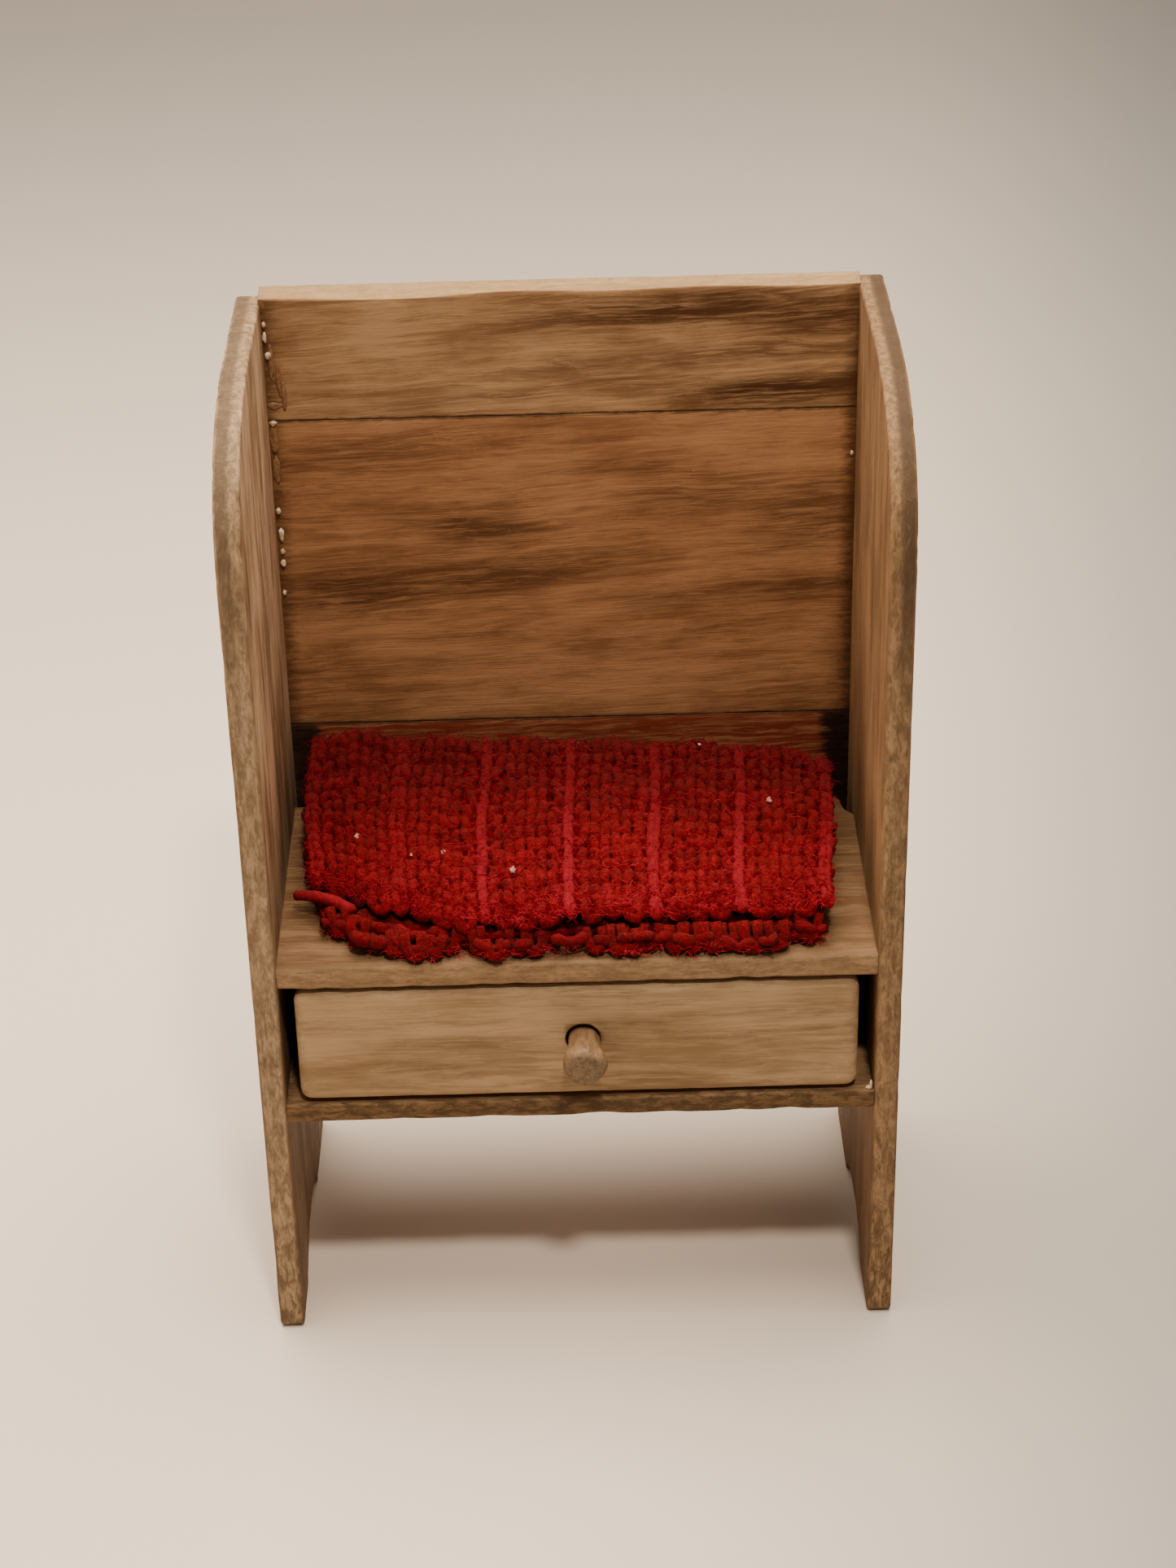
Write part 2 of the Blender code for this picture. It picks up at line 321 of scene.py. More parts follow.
class Wood(Nodes):
    """Stained softwood, built up from its grain; most steps take a colour and return the next."""

    def __init__(self, name, grain, seed, slope):
        """grain is the axis the fibres follow, and slope how much they climb along X."""
        super().__init__(name)
        self.grain = "xyz".index(grain)
        self.slope = slope
        self.raw = self.point()
        self.axes = self.split(self.raw)
        if slope:
            climb = self.times(self.axes["X"], -slope)
            climb = self.add("CombineXYZ", 0.0, 0.0, climb).outputs[0]
            self.raw = self.vector("ADD", self.raw, climb)
        self.own = self.vector("ADD", self.raw, (seed * 13.7, seed * 7.1, seed * 3.3))
        bend = self.wander(0.05, 0.22, 5.0, 2.2)
        self.bent = self.vector("ADD", self.own, bend)
        self.fibre = self.grained(self.bent, 0.16, 5.5, 5.0, 0.72)
        self.strand = self.grained(self.bent, 0.07, 1.7, 4.0, 0.65, 0.5)
        self.figure = self.grained(self.bent, 0.040, 0.42, 3.0, 0.58, 0.8)
        self.cloud = self.grained(self.own, 0.09, 0.20, 4.0, 0.6)
        self.mottle = self.grained(self.own, 0.50, 1.6, 6.0, 0.72, 0.5)
        self.speck = self.grained(self.own, 1.6, 4.6, 4.0, 0.66)
        self.wall = self.attribute("wall")
        self.rim = self.attribute("rim")

    def stretched(self, along, across):
        return tuple(along if self.grain == axis else across for axis in range(3))

    def grained(self, place, along, across, *settings, **output):
        """Noise with that many cells per millimetre along the grain and across it."""
        return self.noise(place, self.stretched(along, across), *settings, **output)

    def wander(self, along, across, reach_along, reach_across):
        """A noise vector around zero; the reaches are in millimetres."""
        drift = self.grained(self.own, along, across, 3.0, 0.6, output="Color")
        drift = self.vector("SUBTRACT", drift, (0.5, 0.5, 0.5))
        return self.vector("MULTIPLY", drift, self.stretched(reach_along, reach_across))

    def faces(self, light, dark):
        tone = self.weighted((self.fibre, 0.25), (self.strand, 0.18), (self.figure, 0.27),
                             (self.cloud, 0.30))
        return self.cover(dark, light, tone, 0.40, 0.60)

    def stained_and_shaded(self, colour, dark_spots, smoke, stain_and_shade_colour):
        """Smoke all over, and dark spots given as (centre, radii, strength), streaked by the
        fibres; the spots are stains, and painted shade on the seat and on the lowest back plank.

        A spot is full within 0.3 of its radii and gone at 1.55 of them.
        """
        moved = self.vector("ADD", self.raw, self.wander(0.06, 0.35, 16.0, 3.0))
        haze = self.grained(self.bent, 0.060, 0.42, 4.0, 0.62, 0.6)
        stain_and_shade = self.remap(haze, 0.53, 0.70, 0.0, smoke)
        for (x, y, z), radii, strength in dark_spots:
            offset = self.vector("SUBTRACT", moved, (x, y, z - self.slope * x))
            distance = self.vector("LENGTH", self.vector("DIVIDE", offset, radii))
            spot = self.remap(distance, 1.55, 0.30, 0.0, strength)
            stain_and_shade = self.maths("MAXIMUM", stain_and_shade, spot)
        streaks = self.remap(self.maths("ADD", self.strand, self.fibre), 1.20, 0.86, 0.42, 1.10)
        stain_and_shade = self.maths("MULTIPLY", stain_and_shade, streaks, clamp=True)
        return self.mix(stain_and_shade, colour, stain_and_shade_colour)

    def scuffed(self, colour, light):
        scuff = self.grained(self.own, 0.9, 1.9, 4.0, 0.7)
        pale = tuple(min(1.0, channel) for channel in tinted(light, 1.7))
        return self.cover(colour, pale, scuff, 0.66, 0.76, 0.30)

    def dark_ends(self, colour, tone, start, full, share):
        """A darker stretch with a ragged border at both ends in X: painted shade in the corners,
        with grime on the upper planks.
        """
        ragged = self.maths("MULTIPLY_ADD", self.mottle, 4.0, -2.0)
        reach = self.maths("ADD", self.maths("ABSOLUTE", self.axes["X"]), ragged)
        return self.cover(colour, tone, reach, start, full, share)

    def edges(self, light, dark):
        tone = self.weighted((self.speck, 0.36), (self.mottle, 0.40), (self.strand, 0.24))
        middle = tuple((low + high) / 2 for low, high in zip(dark, light))
        return self.ramp(tone, (0.36, dark), (0.445, middle), (0.54, light),
                         (0.68, tinted(light, 1.35)))

    def weathered(self, colour, wing):
        """Grey the outer half of the wings' edges, and dull their crowns."""
        outer = self.remap(self.maths("ABSOLUTE", self.axes["X"]), 28.2, 28.95, 0.15, 1.0)
        high = self.remap(self.axes["Z"], 60.0, 84.0, 0.20, 1.0)
        grey = self.times(self.times(outer, high), self.remap(self.cloud, 0.38, 0.55, 0.75, 1.0))
        colour = self.mix(self.times(grey, wing), colour, self.ramp(self.mottle, *WING_GREYS))
        worn = self.ramp(outer, *WING_WEAR)
        return self.cover(colour, worn, self.axes["Z"], 70.0, 88.0, blend="MULTIPLY")

    def soiled(self, colour, dark, grime, feet):
        """Dirt on the rims, and darker towards the bottom."""
        dirt = self.times(self.rim, self.remap(self.mottle, 0.60, 0.40, 0.10 * grime, grime))
        colour = self.mix(dirt, colour, dark)
        if feet:
            low = self.remap(self.axes["Z"], 26.0, 2.0, 0.0, feet)
            low = self.times(low, self.remap(self.mottle, 0.58, 0.40))
            colour = self.mix(low, colour, tinted(dark, 0.6))
        return colour

    def seamed(self, colour, seams):
        """Dark broken lines at the heights where planks meet."""
        broken = self.remap(self.grained(self.own, 0.22, 0.22, 4.0, 0.7), 0.36, 0.50, 0.45, 1.0)
        for height in seams:
            away = self.maths("ABSOLUTE", self.maths("SUBTRACT", self.axes["Z"], height))
            away = self.maths("ADD", away, self.maths("MULTIPLY_ADD", self.mottle, 0.5, -0.25))
            line = self.times(self.remap(away, 0.28, 0.10, 0.0, 0.75), broken)
            colour = self.mix(line, colour, SEAM)
        return colour

    def finish(self, colour, dark):
        """Pits, relief and gloss."""
        pits = self.remap(self.speck, 0.31, 0.25, 0.0, 0.50)
        relief = self.weighted((self.strand, 0.5), (self.fibre, 0.6), (pits, -0.6),
                               (self.times(self.mottle, self.wall), 1.2))
        self.paint(Base_Color=self.mix(pits, colour, tinted(dark, 0.5)),
                   Roughness=self.remap(self.strand, 0.3, 0.7, 0.60, 0.76),
                   Specular_IOR_Level=0.13, Normal=self.bump(relief, 0.00012, 0.7))


def wood_looks(name, grain, faces, edges, seed, dark_spots=(), grime=0.5, feet=0.0, smoke=0.45,
               seams=(), ends=None, wing=0.0, fade=None, stain_and_shade_colour=STAIN_AND_SHADE, slope=0.0):
    """The wood of a board; faces and edges are (light, dark) pairs of colours.

    grime, feet, smoke and wing are strengths, and seams are heights. fade, painted shade lower
    down, is (height where a darker end starts, height where it is full, share); ends, painted
    corner shade, is (colour, start, full, share) in X.
    """
    wood = Wood(name, grain, seed, slope)
    colour = wood.stained_and_shaded(wood.faces(*faces), dark_spots, smoke, stain_and_shade_colour)
    colour = wood.scuffed(colour, faces[0])
    # painted shade: the faces darken lower down, in the stain colour
    if fade:
        colour = wood.cover(colour, stain_and_shade_colour, wood.axes["Z"], *fade)
    # painted shade in the corners at both ends in X
    if ends:
        colour = wood.dark_ends(colour, *ends)
    edge_colour = wood.edges(*edges)
    if wing:
        edge_colour = wood.weathered(edge_colour, wing)
    colour = wood.mix(wood.times(wood.wall, 0.94), colour, edge_colour)
    colour = wood.soiled(colour, edges[1], grime, feet)
    wood.finish(wood.seamed(colour, seams), edges[1])
    return wood


# ======== boards
JOINT = 0.50 * MM           # glued boards close the frame's clearance
SHARP = math.radians(25)    # edges sharper than this are rounded


def rectangle(low, high):
    return [(low[0], low[1]), (high[0], low[1]), (high[0], high[1]), (low[0], high[1])]


def ellipse_arc(centre, radii, start_deg, end_deg, steps):
    """Points along part of an ellipse, both ends included."""
    angles = [math.radians(start_deg + (end_deg - start_deg) * step / steps)
              for step in range(steps + 1)]
    return [(centre[0] + radii[0] * math.cos(angle), centre[1] + radii[1] * math.sin(angle))
            for angle in angles]


def outline_distance(points, outline):
    """Distance of each 2D point to the closed outline."""
    best = np.full(len(points), 1e9)
    for first, second in zip(outline, outline[1:] + outline[:1]):
        start = np.array(first)
        run = np.array(second) - start
        share = np.clip(((points - start) @ run) / max(run @ run, 1e-18), 0.0, 1.0)
        gap = np.linalg.norm(points - start - share[:, None] * run, axis=1)
        best = np.minimum(best, gap)
    return best


def extruded(outline, axis, plane, low, high, rim, inset):
    """The outline drawn out along axis, its edges rounded and its caps given an inner ring."""
    shape = bmesh.new()
    ring = []
    for place in outline:
        corner = [low, low, low]
        corner[plane[0]], corner[plane[1]] = place
        ring.append(shape.verts.new(corner))
    grown = bmesh.ops.extrude_face_region(shape, geom=[shape.faces.new(ring)])
    lifted = [item for item in grown["geom"] if isinstance(item, bmesh.types.BMVert)]
    shift = Vector((0.0, 0.0, 0.0))
    shift[axis] = high - low
    bmesh.ops.translate(shape, vec=shift, verts=lifted)
    bmesh.ops.recalc_face_normals(shape, faces=shape.faces)
    sharp = [edge for edge in shape.edges if edge.calc_face_angle(0.0) > SHARP]
    bmesh.ops.bevel(shape, geom=sharp, offset=rim, segments=3, profile=0.5, affect="EDGES",
                    clamp_overlap=True)
    shape.normal_update()
    caps = [cap for cap in shape.faces
            if abs(cap.normal[axis]) > 0.99 and len(cap.verts) >= len(outline)]
    for cap in caps:
        bmesh.ops.inset_region(shape, faces=[cap], thickness=inset, use_even_offset=True)
    return shape


def slice_up(shape, outline, plane, step):
    """Cut the shape into cells no wider than about one step."""
    flat = np.array(outline)
    for index, direction in enumerate(plane):
        start, end = flat[:, index].min(), flat[:, index].max()
        count = max(1, round((end - start) / step))
        normal = Vector((0.0, 0.0, 0.0))
        normal[direction] = 1.0
        for cut in range(1, count):
            place = normal * (start + (end - start) * cut / count)
            geometry = shape.verts[:] + shape.edges[:] + shape.faces[:]
            bmesh.ops.bisect_plane(shape, geom=geometry, plane_co=place, plane_no=normal, dist=1e-7)
    shape.normal_update()


def board(name, outline, axis, low, high, seed, rim=0.32 * MM, step=1.6 * MM, wobble=0.05 * MM,
          wear=0.14 * MM, inset=0.45 * MM):
    """A board cut on its outline: rounded, slightly uneven and worn along the edges.

    axis is the direction through the thickness; the outline is in the two others.
    """
    plane = [index for index in range(3) if index != axis]
    shape = extruded(outline, axis, plane, low, high, rim, inset)
    slice_up(shape, outline, plane, step)
    points = np.array([vertex.co for vertex in shape.verts])
    to_outline = outline_distance(points[:, plane], list(outline))
    to_cap = np.minimum(points[:, axis] - low, high - points[:, axis])
    to_edge = np.maximum(to_outline, to_cap)
    rim_share = 1 - smoothstep(0.25 * MM, 1.1 * MM, to_edge)
    wall_share = smoothstep(0.0, rim * 1.2, to_cap) * (1 - smoothstep(0.0, rim * 1.2, to_outline))
    offset = Vector((seed * 0.37, seed * 0.11, seed * 0.23))
    for vertex, worn in zip(shape.verts, rim_share):
        place = vertex.co + offset
        slow = noise.noise(place / (9 * MM))
        quick = noise.noise(place / (2.2 * MM))
        chip = max(0.0, noise.noise(place / (1.3 * MM)) - 0.12)
        uneven = wobble * (0.7 * slow + 0.3 * quick - 0.8)      # never out of the frame's box
        vertex.co += vertex.normal * (uneven - wear * worn * chip * 2.2)
    piece = smooth_object(name + "_worn", mesh_from(name + "_worn", shape))
    store(piece, rim=rim_share, wall=wall_share)
    return piece


def plank(name, axis, low, high, seed, **settings):
    """A rectangular board that fills the box from low to high."""
    first, second = (index for index in range(3) if index != axis)
    outline = rectangle((low[first], low[second]), (high[first], high[second]))
    return board(name, outline, axis, low[axis], high[axis], seed, **settings)


def grown_box(name, left=0.0, right=0.0, front=0.0, back=0.0, down=0.0, up=0.0):
    low, high = BOX[name]
    return low - Vector((left, front, down)), high + Vector((right, back, up))


def finish_piece(piece, looks, name):
    """Give a piece its looks and let it stand for the frame's node called name."""
    piece.data.materials.clear()
    piece.data.materials.append(looks.material)
    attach(piece, frame["nodes"][name]["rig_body"])
    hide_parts(name)


# ======== side panels
WING_REACH = 20.0 * MM
WING_DROP = 15.9 * MM
WING_FULLNESS = 2.5                             # 2 would be a plain ellipse
WING_STEPS = 34
ARCH = (7.5 * MM, 23.0 * MM, 3.0 * MM)          # start, end and rise between the feet
FOOT_ROUND = 0.9 * MM
SIDE_DARK = (0.185, 0.098, 0.043)
EDGE_LIGHT = (0.285, 0.180, 0.096)
EDGE_DARK = (0.085, 0.050, 0.024)
# seed, wear of the wing's top, light tone (lighter on the left as painted light), fade (painted
# shade lower down), shade of the edges, wing and stains
SIDE_LOOKS = {
    "side_panel_left": (1.0, 1.3 * MM, (0.62, 0.400, 0.232), (62.0, 44.0, 0.60),
                        (1.25, 1.33, 1.40), 0.64, [((-27.5, 4.0, 56.0), (3.0, 7.0, 14.0), 0.35)]),
    "side_panel_right": (2.0, 0.7 * MM, (0.355, 0.198, 0.092), (58.0, 44.0, 0.35),
                         (1.06, 1.02, 0.95), 1.0, [((27.5, 6.0, 47.0), (3.0, 4.0, 14.0), 0.45),
                                                   ((27.5, -4.0, 70.0), (3.0, 4.0, 12.0), 0.3)]),
}


def side_outline(box, dip):
    """The side's profile, the same as the frame's; dip lowers the worn top of the wing."""
    front, back, top = box[0].y, box[1].y, box[1].z
    arch_middle = front + (ARCH[0] + ARCH[1]) / 2
    foot = (FOOT_ROUND, FOOT_ROUND)
    outline = ellipse_arc((front + FOOT_ROUND, FOOT_ROUND), foot, 180, 270, 4)
    outline += ellipse_arc((arch_middle, 0.0), ((ARCH[1] - ARCH[0]) / 2, ARCH[2]), 180, 0, 20)
    outline += ellipse_arc((back - FOOT_ROUND, FOOT_ROUND), foot, 270, 360, 4)
    outline += [(back, top - dip)]
    for step in range(WING_STEPS + 1):
        angle = math.pi / 2 * (1 + step / WING_STEPS)
        across = math.copysign(abs(math.cos(angle)) ** (2 / WING_FULLNESS), math.cos(angle))
        rise = abs(math.sin(angle)) ** (2 / WING_FULLNESS)
        outline.append((front + WING_REACH + WING_REACH * across,
                        top - WING_DROP + (WING_DROP - dip) * rise))
    return outline


def make_sides():
    for name, (seed, dip, light, fade, shade, wing, dark_spots) in SIDE_LOOKS.items():
        low, high = BOX[name]
        piece = board(name, side_outline(BOX[name], dip), 0, low.x, high.x, seed,
                      wobble=0.03 * MM, wear=0.07 * MM)
        looks = wood_looks(name + "_wood", "z", (light, SIDE_DARK),
                           (tinted(EDGE_LIGHT, shade), tinted(EDGE_DARK, shade)), seed, dark_spots,
                           feet=0.5, smoke=0.30, wing=wing, fade=fade)
        finish_piece(piece, looks, name)


# ======== back
BACK = ((0.290, 0.134, 0.053), (0.140, 0.054, 0.018))
CREAM = ((0.320, 0.200, 0.092), (0.205, 0.115, 0.048))
LAP = 0.17 * MM             # the planks' bevelled edges meet in a narrow groove
SEAM_LIFT = 0.15            # millimetres from the middle plank to a seam's middle
# seed, growth, shade, dark ends (painted corner shade, with grime), stain colour, and stains as X,
# Z, radii along X and Z, strength
BACK_LOOKS = {
    "back_plank_top": (4.0, {"down": LAP}, (1.18, 1.45, 1.72), (STAIN_AND_SHADE, 25.7, 27.6, 0.75), STAIN_AND_SHADE, (
        (11.0, 92.4, 15.0, 1.9, 0.85), (22.0, 91.8, 8.0, 2.3, 0.80), (20.5, 84.3, 10.0, 1.9, 0.95),
        (2.0, 87.2, 9.0, 1.1, 0.35), (18.0, 88.2, 10.0, 1.3, 0.62), (-9.0, 84.2, 9.0, 0.9, 0.35))),
    "back_plank_middle": (5.0, {"down": LAP, "up": LAP}, (1.03, 1.06, 1.15),
                          (STAIN_AND_SHADE, 25.7, 27.6, 0.75), STAIN_AND_SHADE, (
        (-8.0, 70.8, 7.0, 2.3, 0.76), (-9.0, 65.6, 12.0, 2.0, 0.68), (-21.5, 64.4, 8.0, 2.4, 0.78),
        (14.0, 73.9, 8.0, 1.9, 0.58), (23.0, 71.5, 6.0, 4.0, 0.55), (-20.0, 78.6, 9.0, 2.0, 0.45),
        (22.0, 63.5, 8.0, 1.6, 0.55), (0.0, 67.5, 12.0, 1.0, 0.45), (12.0, 63.0, 9.0, 1.2, 0.40),
        (6.0, 77.0, 10.0, 0.9, 0.35), (-12.0, 56.5, 9.0, 0.9, 0.30))),
    # the lowest plank: its near-black ends are painted shadow beside the pad, and the dark red
    # spread over its whole front face is painted shade with the pad's reflected red light
    "back_plank_lower": (6.0, {"up": LAP}, (0.98, 0.98, 1.02),
                         ((0.010, 0.004, 0.002), 24.0, 25.6, 0.96), (0.115, 0.017, 0.007), (
        (0.0, 47.0, 60.0, 14.0, 1.0),)),
}
# how far the stains reach behind the planks' front face; on the lowest plank only 2 mm, so its
# painted shade stays on the front face
STAIN_DEPTH = {"back_plank_top": 9.0, "back_plank_middle": 9.0, "back_plank_lower": 2.0}


def wear_top_edge(piece, top, front, back):
    """Round the front of a board's top edge down, most of all towards the left."""
    for vertex in piece.data.vertices:
        near = smoothstep(0.5 * MM, 0.0, top - vertex.co.z) * smoothstep(back, front, vertex.co.y)
        across = vertex.co.x / MM
        hollow = 0.45 * math.exp(-((across + 18.0) / 8.0) ** 2)
        vertex.co.z -= near * (0.30 + hollow + 0.10 * math.sin(across * 0.35)) * MM


def make_back():
    low, high = BOX["back_plank_middle"]
    seams = (high.z / MM + SEAM_LIFT, low.z / MM - SEAM_LIFT)
    face = BACK_FACE_Y / MM
    for name, (seed, growth, shade, ends, stain_and_shade_colour, spots) in BACK_LOOKS.items():
        low, high = grown_box(name, left=JOINT, right=JOINT, **growth)
        piece = plank(name, 1, low, high, seed, rim=0.16 * MM, wobble=0.03 * MM, wear=0.05 * MM,
                      inset=0.6 * MM)
        if name == "back_plank_top":
            wear_top_edge(piece, high.z, low.y, high.y)
        dark_spots = [((x, face, z), (wide, STAIN_DEPTH[name], tall), strength)
                  for x, z, wide, tall, strength in spots]
        looks = wood_looks(name + "_wood", "x", [tinted(tone, shade) for tone in BACK], CREAM, seed,
                           dark_spots, grime=0.10, smoke=0.36, seams=seams, ends=ends, slope=0.045,
                           stain_and_shade_colour=stain_and_shade_colour)
        finish_piece(piece, looks, name)


# ======== seat and shelf
SEAT = ((0.240, 0.140, 0.068), (0.135, 0.070, 0.029))
SEAT_EDGE = ((0.276, 0.168, 0.083), (0.132, 0.076, 0.036))
# colour of the seat's smoke, and of its painted shade beside the pad
SEAT_STAIN_AND_SHADE = (0.070, 0.028, 0.010)
SHELF_EDGE = ((0.140, 0.078, 0.031), (0.048, 0.025, 0.010))
SEAT_CHIP = 1.9 * MM        # size of the broken rear right corner


def make_seat():
    low, high = grown_box("seat_board", left=JOINT, right=JOINT)
    outline = [(low.x, low.y), (high.x, low.y), (high.x, high.y - 2.2 * SEAT_CHIP),
               (high.x - 0.5 * SEAT_CHIP, high.y - 1.6 * SEAT_CHIP),
               (high.x - 0.7 * SEAT_CHIP, high.y - 0.5 * SEAT_CHIP),
               (high.x - 1.3 * SEAT_CHIP, high.y), (low.x, high.y)]
    seat = board("seat_board", outline, 2, low.z, high.z, 8.0)
    top = SEAT_TOP / MM
    # painted shade, with the pad's reflected red, on the seat's top at both sides of the pad
    dark_spots = (((-25.0, 2.0, top), (5.0, 16.0, 4.0), 0.80),
              ((26.0, 4.0, top), (4.5, 14.0, 4.0), 0.55))
    looks = wood_looks("seat_board_wood", "x", SEAT, SEAT_EDGE, 8.0, dark_spots, grime=0.35,
                       stain_and_shade_colour=SEAT_STAIN_AND_SHADE)
    finish_piece(seat, looks, "seat_board")

    low, high = grown_box("drawer_shelf", left=JOINT, right=JOINT, back=JOINT)
    shelf = plank("drawer_shelf", 2, low, high, 9.0)
    looks = wood_looks("drawer_shelf_wood", "x", SEAT, SHELF_EDGE, 9.0, grime=0.8)
    finish_piece(shelf, looks, "drawer_shelf")


# ======== drawer
DRAWER = ((0.345, 0.226, 0.118), (0.192, 0.114, 0.051))
DRAWER_EDGE = ((0.34, 0.21, 0.11), (0.13, 0.07, 0.032))
DRAWER_BOX_EDGE = ((0.26, 0.16, 0.085), (0.10, 0.055, 0.026))
DRAWER_STAIN = (0.085, 0.038, 0.013)
DRAWER_CORNER = 1.2 * MM
# stains of the front: X, Z, radii along X and Z, strength
DRAWER_SPOTS = ((5.0, 29.0, 9.0, 1.0, 0.40), (-15.0, 30.3, 9.0, 1.3, 0.45),
                (-12.0, 33.6, 8.0, 0.8, 0.35), (15.0, 36.0, 8.0, 0.8, 0.30),
                (0.5, 31.2, 3.2, 2.2, 0.40))
HOLE_RADIUS = 1.62 * MM
HOLE_DEPTH = 1.3 * MM
HOLE_SHIFT = (-0.10 * MM, 0.40 * MM)    # of the hole's middle from the knob's, in X and Z
# painted shade inside the knob's hole
HOLE_SHADE = (0.012, 0.006, 0.003)


def bore(piece, centre):
    """Cut the knob's blind round hole into a piece's front face."""
    shape = bmesh.new()
    bmesh.ops.create_cone(shape, cap_ends=True, segments=48, radius1=HOLE_RADIUS,
                          radius2=HOLE_RADIUS, depth=2 * HOLE_DEPTH)
    bmesh.ops.rotate(shape, verts=shape.verts, matrix=Matrix.Rotation(math.pi / 2, 3, "X"))
    bmesh.ops.translate(shape, verts=shape.verts, vec=(centre[0], FRONT_Y, centre[1]))
    cutter = add_object("bore_cutter", mesh_from("bore_cutter", shape))
    modifier = piece.modifiers.new("bore", "BOOLEAN")
    modifier.operation = "DIFFERENCE"
    modifier.object = cutter
    ready = piece.evaluated_get(bpy.context.evaluated_depsgraph_get())
    cut = bpy.data.meshes.new_from_object(ready)
    piece.modifiers.clear()
    piece.data = cut
    bpy.data.objects.remove(cutter)


def darken_bore(wood, centre):
    """Blacken the inside of the hole: painted shade in the recess."""
    before = wood.shader.inputs["Base Color"].links[0].from_socket
    raw = wood.point()
    flat = wood.vector("SUBTRACT", raw, (centre[0] / MM, 0.0, centre[1] / MM))
    flat = wood.vector("MULTIPLY", flat, (1.0, 0.0, 1.0))
    radius, face = HOLE_RADIUS / MM, FRONT_Y / MM
    inside = wood.remap(wood.vector("LENGTH", flat), radius + 0.12, radius - 0.02)
    deep = wood.remap(wood.split(raw)["Y"], face - 0.02, face + 0.20)
    share = wood.times(inside, wood.maths("MULTIPLY_ADD", deep, 0.5, 0.5))
    wood.paint(Base_Color=wood.mix(share, before, HOLE_SHADE))


def make_drawer():
    low, high = BOX["drawer_front"]
    corners = rectangle((low.x + DRAWER_CORNER, low.z + DRAWER_CORNER),
                        (high.x - DRAWER_CORNER, high.z - DRAWER_CORNER))
    rounded = []
    for place, start in zip(corners, (180, 270, 0, 90)):
        rounded += ellipse_arc(place, (DRAWER_CORNER, DRAWER_CORNER), start, start + 90, 5)
    front = board("drawer_front", rounded, 1, low.y, high.y, 11.0, rim=0.85 * MM, step=1.3 * MM,
                  wobble=0.06 * MM, wear=0.05 * MM, inset=0.2 * MM)
    knob_low, knob_high = BOX["drawer_knob"]
    hole = ((knob_low.x + knob_high.x) / 2 + HOLE_SHIFT[0],
            (knob_low.z + knob_high.z) / 2 + HOLE_SHIFT[1])
    bore(front, hole)
    dark_spots = [((x, FRONT_Y / MM, z), (wide, 9.0, tall), strength)
              for x, z, wide, tall, strength in DRAWER_SPOTS]
    looks = wood_looks("drawer_front_wood", "x", DRAWER, DRAWER_EDGE, 11.0, dark_spots, grime=0.25,
                       smoke=0.32, stain_and_shade_colour=DRAWER_STAIN)
    darken_bore(looks, hole)
    finish_piece(front, looks, "drawer_front")

    lengthwise = wood_looks("drawer_box_wood", "y", DRAWER, DRAWER_BOX_EDGE, 12.0)
    crosswise = wood_looks("drawer_back_wood", "x", DRAWER, DRAWER_BOX_EDGE, 13.0)
    for name, axis, looks, joined, seed, settings in (
            ("drawer_side_left", 0, lengthwise, ("front",), 12.0, {"rim": 0.25 * MM}),
            ("drawer_side_right", 0, lengthwise, ("front",), 13.0, {"rim": 0.25 * MM}),
            ("drawer_bottom", 2, lengthwise, ("left", "right", "front"), 14.0, {}),
            ("drawer_back", 1, crosswise, ("left", "right", "down"), 15.0, {})):
        low, high = grown_box(name, **dict.fromkeys(joined, JOINT))
        finish_piece(plank(name, axis, low, high, seed, **settings), looks, name)


# ======== knob
KNOB_HEAD = 2.05 * MM       # radii of the head, of the root and of the flat face
KNOB_ROOT = 1.45 * MM
KNOB_FACE = 1.15 * MM
KNOB_CROWN = 1.1 * MM       # length of the rounded part of the head
KNOB_AROUND = 40            # vertices round the knob
NECK_STEPS = 7
KNOB = ((0.27, 0.155, 0.075), (0.13, 0.07, 0.03))
KNOB_EDGE = ((0.165, 0.104, 0.051), (0.050, 0.030, 0.015))


def knob_profile(reach, depth):
    """(radius, distance in front of the drawer) from the hidden end to the middle of the face."""
    profile = [(KNOB_ROOT, -depth), (KNOB_ROOT, -1.2 * MM), (KNOB_ROOT, 0.0)]
    for step in range(1, NECK_STEPS + 1):
        share = step / NECK_STEPS
        ease = 1 - math.cos(share * math.pi / 2)
        profile.append((KNOB_ROOT + (KNOB_HEAD - KNOB_ROOT) * ease, share * (reach - KNOB_CROWN)))
    crown = (KNOB_HEAD - KNOB_FACE, KNOB_CROWN)
    profile += ellipse_arc((KNOB_FACE, reach - KNOB_CROWN), crown, 0, 90, 7)[1:]
    return profile + [(KNOB_FACE * 0.6, reach), (KNOB_FACE * 0.25, reach)]


